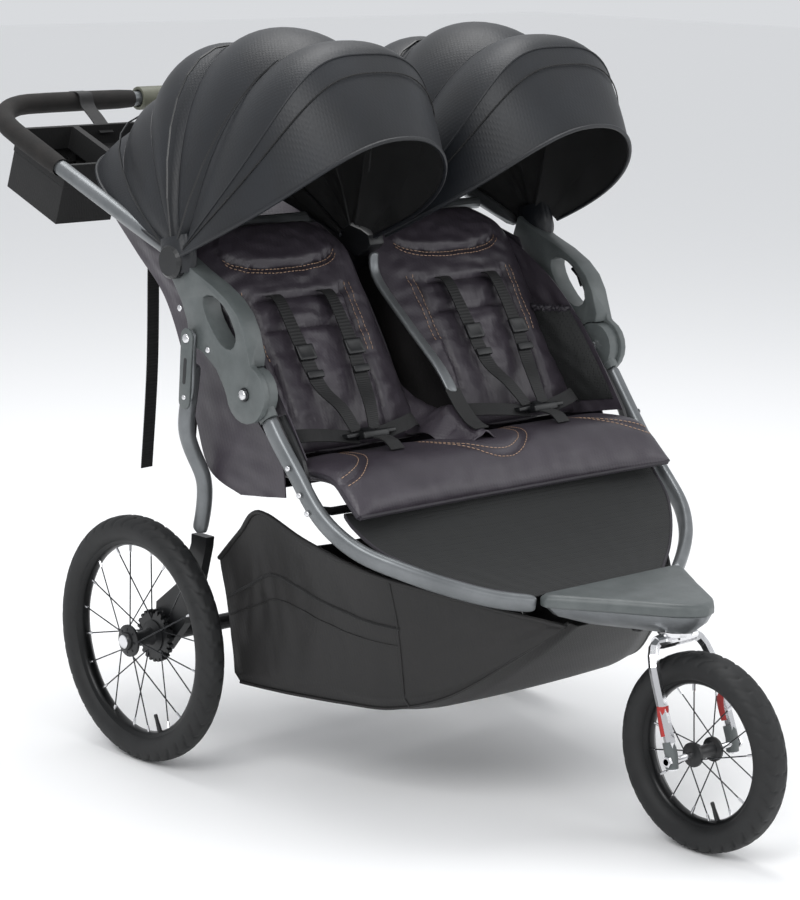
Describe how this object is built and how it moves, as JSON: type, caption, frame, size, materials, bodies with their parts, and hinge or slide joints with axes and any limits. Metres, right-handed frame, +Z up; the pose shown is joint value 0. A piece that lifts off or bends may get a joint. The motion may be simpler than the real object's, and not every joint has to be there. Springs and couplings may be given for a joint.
{
  "type": "jogging stroller",
  "caption": "Side-by-side jogging stroller: folding tube frame, swivel front wheel, spoked rear wheels, reclining seats, tilting canopies, cargo basket and handle organiser.",
  "frame": {"origin": "on the ground, under the middle of the overall width and length", "axes": "+Z up, +Y to the rear (handle), -Y to the front wheel, +X to the stroller's own left"},
  "size_m": [0.817, 1.496, 1.173],
  "materials": {
    "frame_paint": "satin silver-grey",
    "casing_plastic": "fine satin",
    "dark_plastic": "satin black",
    "chrome": "polished",
    "foam": "closed-cell foam",
    "tyre_rubber": "matte",
    "rim_black": "black anodised",
    "seat_fabric": "satin woven polyester",
    "canopy_fabric": "soft knit",
    "basket_fabric": "woven polyester",
    "mesh_fabric": "open mesh",
    "release_bronze": "satin"
  },
  "bodies": {
    "frame": {"side_tube_left": "frame_paint", "side_tube_right": "frame_paint", "hub_socket_left": "casing_plastic", "hub_socket_right": "casing_plastic", "nose_cover": "casing_plastic", "nose_casting": "frame_paint", "seat_rail": "dark_plastic", "seat_cushion": "seat_fabric", "footwell_panel": "mesh_fabric", "basket": "basket_fabric"},
    "swivel_lock": {"swivel_lock_knob": "dark_plastic"},
    "handle_frame": {"handle_tube": "frame_paint", "grip_left": "foam", "grip_right": "foam", "handle_housing": "casing_plastic", "cross_tube": "frame_paint", "organiser": "basket_fabric", "canopy_mount_centre": "dark_plastic", "divider_strut": "frame_paint", "casing_left": "casing_plastic", "fold_bolt_left": "chrome", "canopy_hinge_left": "dark_plastic", "side_panel_left": "seat_fabric", "canopy_rear_bow_left": "dark_plastic", "canopy_rear_panel_left": "canopy_fabric", "casing_right": "casing_plastic", "fold_bolt_right": "chrome", "canopy_hinge_right": "dark_plastic", "side_panel_right": "seat_fabric", "canopy_rear_bow_right": "dark_plastic", "canopy_rear_panel_right": "canopy_fabric"},
    "fold_trigger_left": {"fold_trigger_left": "dark_plastic"},
    "seat_back_left": {"seat_back_left": "seat_fabric"},
    "canopy_mid_left": {"canopy_mid_bow_left": "dark_plastic", "canopy_mid_panel_left": "canopy_fabric"},
    "canopy_front_left": {"canopy_front_bow_left": "dark_plastic", "canopy_front_panel_left": "canopy_fabric"},
    "visor_left": {"visor_left": "canopy_fabric"},
    "fold_trigger_right": {"fold_trigger_right": "dark_plastic"},
    "seat_back_right": {"seat_back_right": "seat_fabric"},
    "canopy_mid_right": {"canopy_mid_bow_right": "dark_plastic", "canopy_mid_panel_right": "canopy_fabric"},
    "canopy_front_right": {"canopy_front_bow_right": "dark_plastic", "canopy_front_panel_right": "canopy_fabric"},
    "visor_right": {"visor_right": "canopy_fabric"},
    "rear_legs": {"rear_leg_left": "frame_paint", "rear_leg_right": "frame_paint", "rear_axle": "dark_plastic"},
    "brake_pedal": {"brake_pedal": "dark_plastic"},
    "brake_pin_left": {"brake_pin_left": "chrome"},
    "rear_wheel_left": {"rear_left_tyre": "tyre_rubber", "rear_left_wheel": "rim_black"},
    "release_button_left": {"release_button_left": "release_bronze"},
    "brake_pin_right": {"brake_pin_right": "chrome"},
    "rear_wheel_right": {"rear_right_tyre": "tyre_rubber", "rear_right_wheel": "rim_black"},
    "release_button_right": {"release_button_right": "release_bronze"},
    "fork": {"fork": "chrome"},
    "front_wheel": {"front_tyre": "tyre_rubber", "front_wheel": "rim_black"}
  },
  "joints": [
    {"name": "frame_fold", "type": "hinge", "parent": "frame", "child": "handle_frame", "pos_m": [0, -0.00695, 0.64], "axis": [1, 0, 0], "range_deg": [0, 104], "deforming": ["side_panel_left", "side_panel_right", "canopy_mid_panel_left", "canopy_mid_panel_right", "canopy_front_panel_left", "canopy_front_panel_right"]},
    {"name": "rear_leg_fold", "type": "hinge", "parent": "handle_frame", "child": "rear_legs", "pos_m": [0, 0.12005, 0.71], "axis": [-1, 0, 0], "range_deg": [0, 46]},
    {"name": "canopy_mid_left", "type": "hinge", "parent": "handle_frame", "child": "canopy_mid_left", "pos_m": [0.21, 0.16205, 0.823], "axis": [-1, 0, 0], "range_deg": [0, 26], "deforming": ["canopy_mid_panel_left", "canopy_front_panel_left"]},
    {"name": "canopy_front_left", "type": "hinge", "parent": "canopy_mid_left", "child": "canopy_front_left", "pos_m": [0.21, 0.16205, 0.823], "axis": [-1, 0, 0], "range_deg": [0, 22], "deforming": ["canopy_mid_panel_left", "canopy_front_panel_left"]},
    {"name": "visor_tilt_left", "type": "hinge", "parent": "canopy_front_left", "child": "visor_left", "pos_m": [0.21, 0.16205, 0.823], "axis": [-1, 0, 0], "range_deg": [0, 20], "deforming": ["canopy_front_panel_left", "canopy_mid_panel_left"]},
    {"name": "recline_left", "type": "hinge", "parent": "handle_frame", "child": "seat_back_left", "pos_m": [0.182, 0.01505, 0.52], "axis": [-1, 0, 0], "range_deg": [0, 25]},
    {"name": "fold_trigger_left", "type": "slide", "parent": "handle_frame", "child": "fold_trigger_left", "axis": [0, -0.7682, 0.6402], "range_m": [0, 0.003], "stiffness_N_per_m": 500, "springref_m": -0.002},
    {"name": "rear_wheel_spin_left", "type": "hinge", "parent": "rear_legs", "child": "rear_wheel_left", "pos_m": [0.372, 0.27705, 0.2], "axis": [1, 0, 0], "continuous": true},
    {"name": "release_button_left", "type": "slide", "parent": "rear_wheel_left", "child": "release_button_left", "axis": [-1, 0, 0], "range_m": [0, 0.0025], "stiffness_N_per_m": 500, "springref_m": -0.002},
    {"name": "brake_pin_left", "type": "slide", "parent": "rear_legs", "child": "brake_pin_left", "axis": [1, 0, 0], "range_m": [0, 0.006]},
    {"name": "canopy_mid_right", "type": "hinge", "parent": "handle_frame", "child": "canopy_mid_right", "pos_m": [-0.21, 0.16205, 0.823], "axis": [-1, 0, 0], "range_deg": [0, 26], "deforming": ["canopy_mid_panel_right", "canopy_front_panel_right"]},
    {"name": "canopy_front_right", "type": "hinge", "parent": "canopy_mid_right", "child": "canopy_front_right", "pos_m": [-0.21, 0.16205, 0.823], "axis": [-1, 0, 0], "range_deg": [0, 22], "deforming": ["canopy_mid_panel_right", "canopy_front_panel_right"]},
    {"name": "visor_tilt_right", "type": "hinge", "parent": "canopy_front_right", "child": "visor_right", "pos_m": [-0.21, 0.16205, 0.823], "axis": [-1, 0, 0], "range_deg": [0, 20], "deforming": ["canopy_front_panel_right", "canopy_mid_panel_right"]},
    {"name": "recline_right", "type": "hinge", "parent": "handle_frame", "child": "seat_back_right", "pos_m": [-0.182, 0.01505, 0.52], "axis": [-1, 0, 0], "range_deg": [0, 25]},
    {"name": "fold_trigger_right", "type": "slide", "parent": "handle_frame", "child": "fold_trigger_right", "axis": [0, -0.7682, 0.6402], "range_m": [0, 0.003], "stiffness_N_per_m": 500, "springref_m": -0.002},
    {"name": "rear_wheel_spin_right", "type": "hinge", "parent": "rear_legs", "child": "rear_wheel_right", "pos_m": [-0.372, 0.27705, 0.2], "axis": [1, 0, 0], "continuous": true},
    {"name": "release_button_right", "type": "slide", "parent": "rear_wheel_right", "child": "release_button_right", "axis": [1, 0, 0], "range_m": [0, 0.0025], "stiffness_N_per_m": 500, "springref_m": -0.002},
    {"name": "brake_pin_right", "type": "slide", "parent": "rear_legs", "child": "brake_pin_right", "axis": [-1, 0, 0], "range_m": [0, 0.006]},
    {"name": "brake_pedal", "type": "hinge", "parent": "rear_legs", "child": "brake_pedal", "pos_m": [0, 0.27705, 0.2], "axis": [-1, 0, 0], "range_deg": [0, 15]},
    {"name": "fork_swivel", "type": "hinge", "parent": "frame", "child": "fork", "pos_m": [0, -0.53495, 0.309], "axis": [0, 0, 1], "continuous": true},
    {"name": "front_wheel_spin", "type": "hinge", "parent": "fork", "child": "front_wheel", "pos_m": [0, -0.59795, 0.15], "axis": [1, 0, 0], "continuous": true},
    {"name": "swivel_lock", "type": "slide", "parent": "frame", "child": "swivel_lock", "axis": [0, 0, -1], "range_m": [0, 0.005], "stiffness_N_per_m": 500, "springref_m": -0.002}
  ],
  "couplings": [
    {"joint": "rear_leg_fold", "follows": "frame_fold", "ratio": 0.44231},
    {"joint": "canopy_mid_left", "follows": "frame_fold", "ratio": 0.25},
    {"joint": "canopy_front_left", "follows": "frame_fold", "ratio": 0.21154},
    {"joint": "brake_pin_left", "follows": "brake_pedal", "m_per_rad": 0.022918},
    {"joint": "canopy_mid_right", "follows": "frame_fold", "ratio": 0.25},
    {"joint": "canopy_front_right", "follows": "frame_fold", "ratio": 0.21154},
    {"joint": "brake_pin_right", "follows": "brake_pedal", "m_per_rad": 0.022918}
  ]
}
